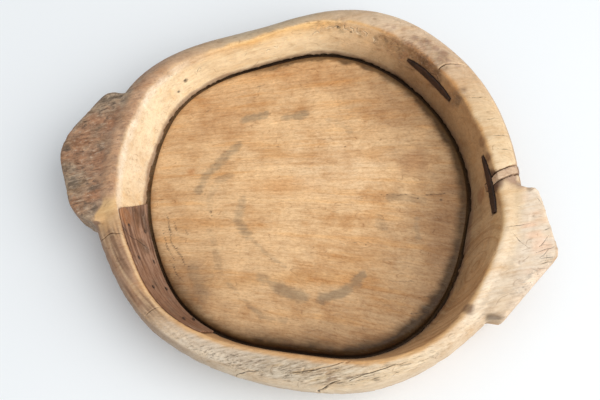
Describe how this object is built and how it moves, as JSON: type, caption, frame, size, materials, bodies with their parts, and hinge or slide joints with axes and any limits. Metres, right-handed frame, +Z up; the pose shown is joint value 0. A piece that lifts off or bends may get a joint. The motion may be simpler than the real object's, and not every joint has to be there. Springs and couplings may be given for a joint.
{
  "type": "carved wooden feed scoop",
  "caption": "Shallow carved wooden feed scoop: a hollowed wall ring with a lug handle at each end, a pegged floor board and old iron and board repairs.",
  "frame": {"origin": "under the middle of the whole, on the table at Z = 0", "axes": "+X from the left lug to the right lug, +Y across the lugs, +Z up out of the hollow"},
  "size_m": [0.5684, 0.4833, 0.078],
  "materials": {
    "carved_block": "old hand-carved hardwood, worn and waxed, grey and brown with age",
    "floor_board": "worn plank, smooth, stained in rings",
    "patch_board": "thin dark brown split board",
    "filler_slip": "grey-brown filler slip",
    "treenail": "whittled end grain",
    "forged_iron": "hand-forged iron, dark brown rust patina",
    "tack_iron": "small forged tacks, dark"
  },
  "bodies": {
    "root": {"body": "carved_block", "floor_board": "floor_board", "wall_patch": "patch_board", "rim_filler_slip": "filler_slip", "iron_cramp_upper": "forged_iron", "iron_cramp_lower": "forged_iron", "floor_peg_01": "treenail", "floor_peg_02": "treenail", "floor_peg_03": "treenail", "floor_peg_04": "treenail", "floor_peg_05": "treenail", "floor_peg_06": "treenail", "floor_peg_07": "treenail", "floor_peg_08": "treenail", "floor_peg_09": "treenail", "floor_peg_10": "treenail", "floor_peg_11": "treenail", "floor_peg_12": "treenail", "patch_tack_1": "tack_iron", "patch_tack_2": "tack_iron", "patch_tack_3": "tack_iron", "patch_tack_4": "tack_iron", "patch_tack_5": "tack_iron", "patch_tack_6": "tack_iron", "patch_tack_7": "tack_iron", "patch_tack_8": "tack_iron"}
  },
  "joints": []
}
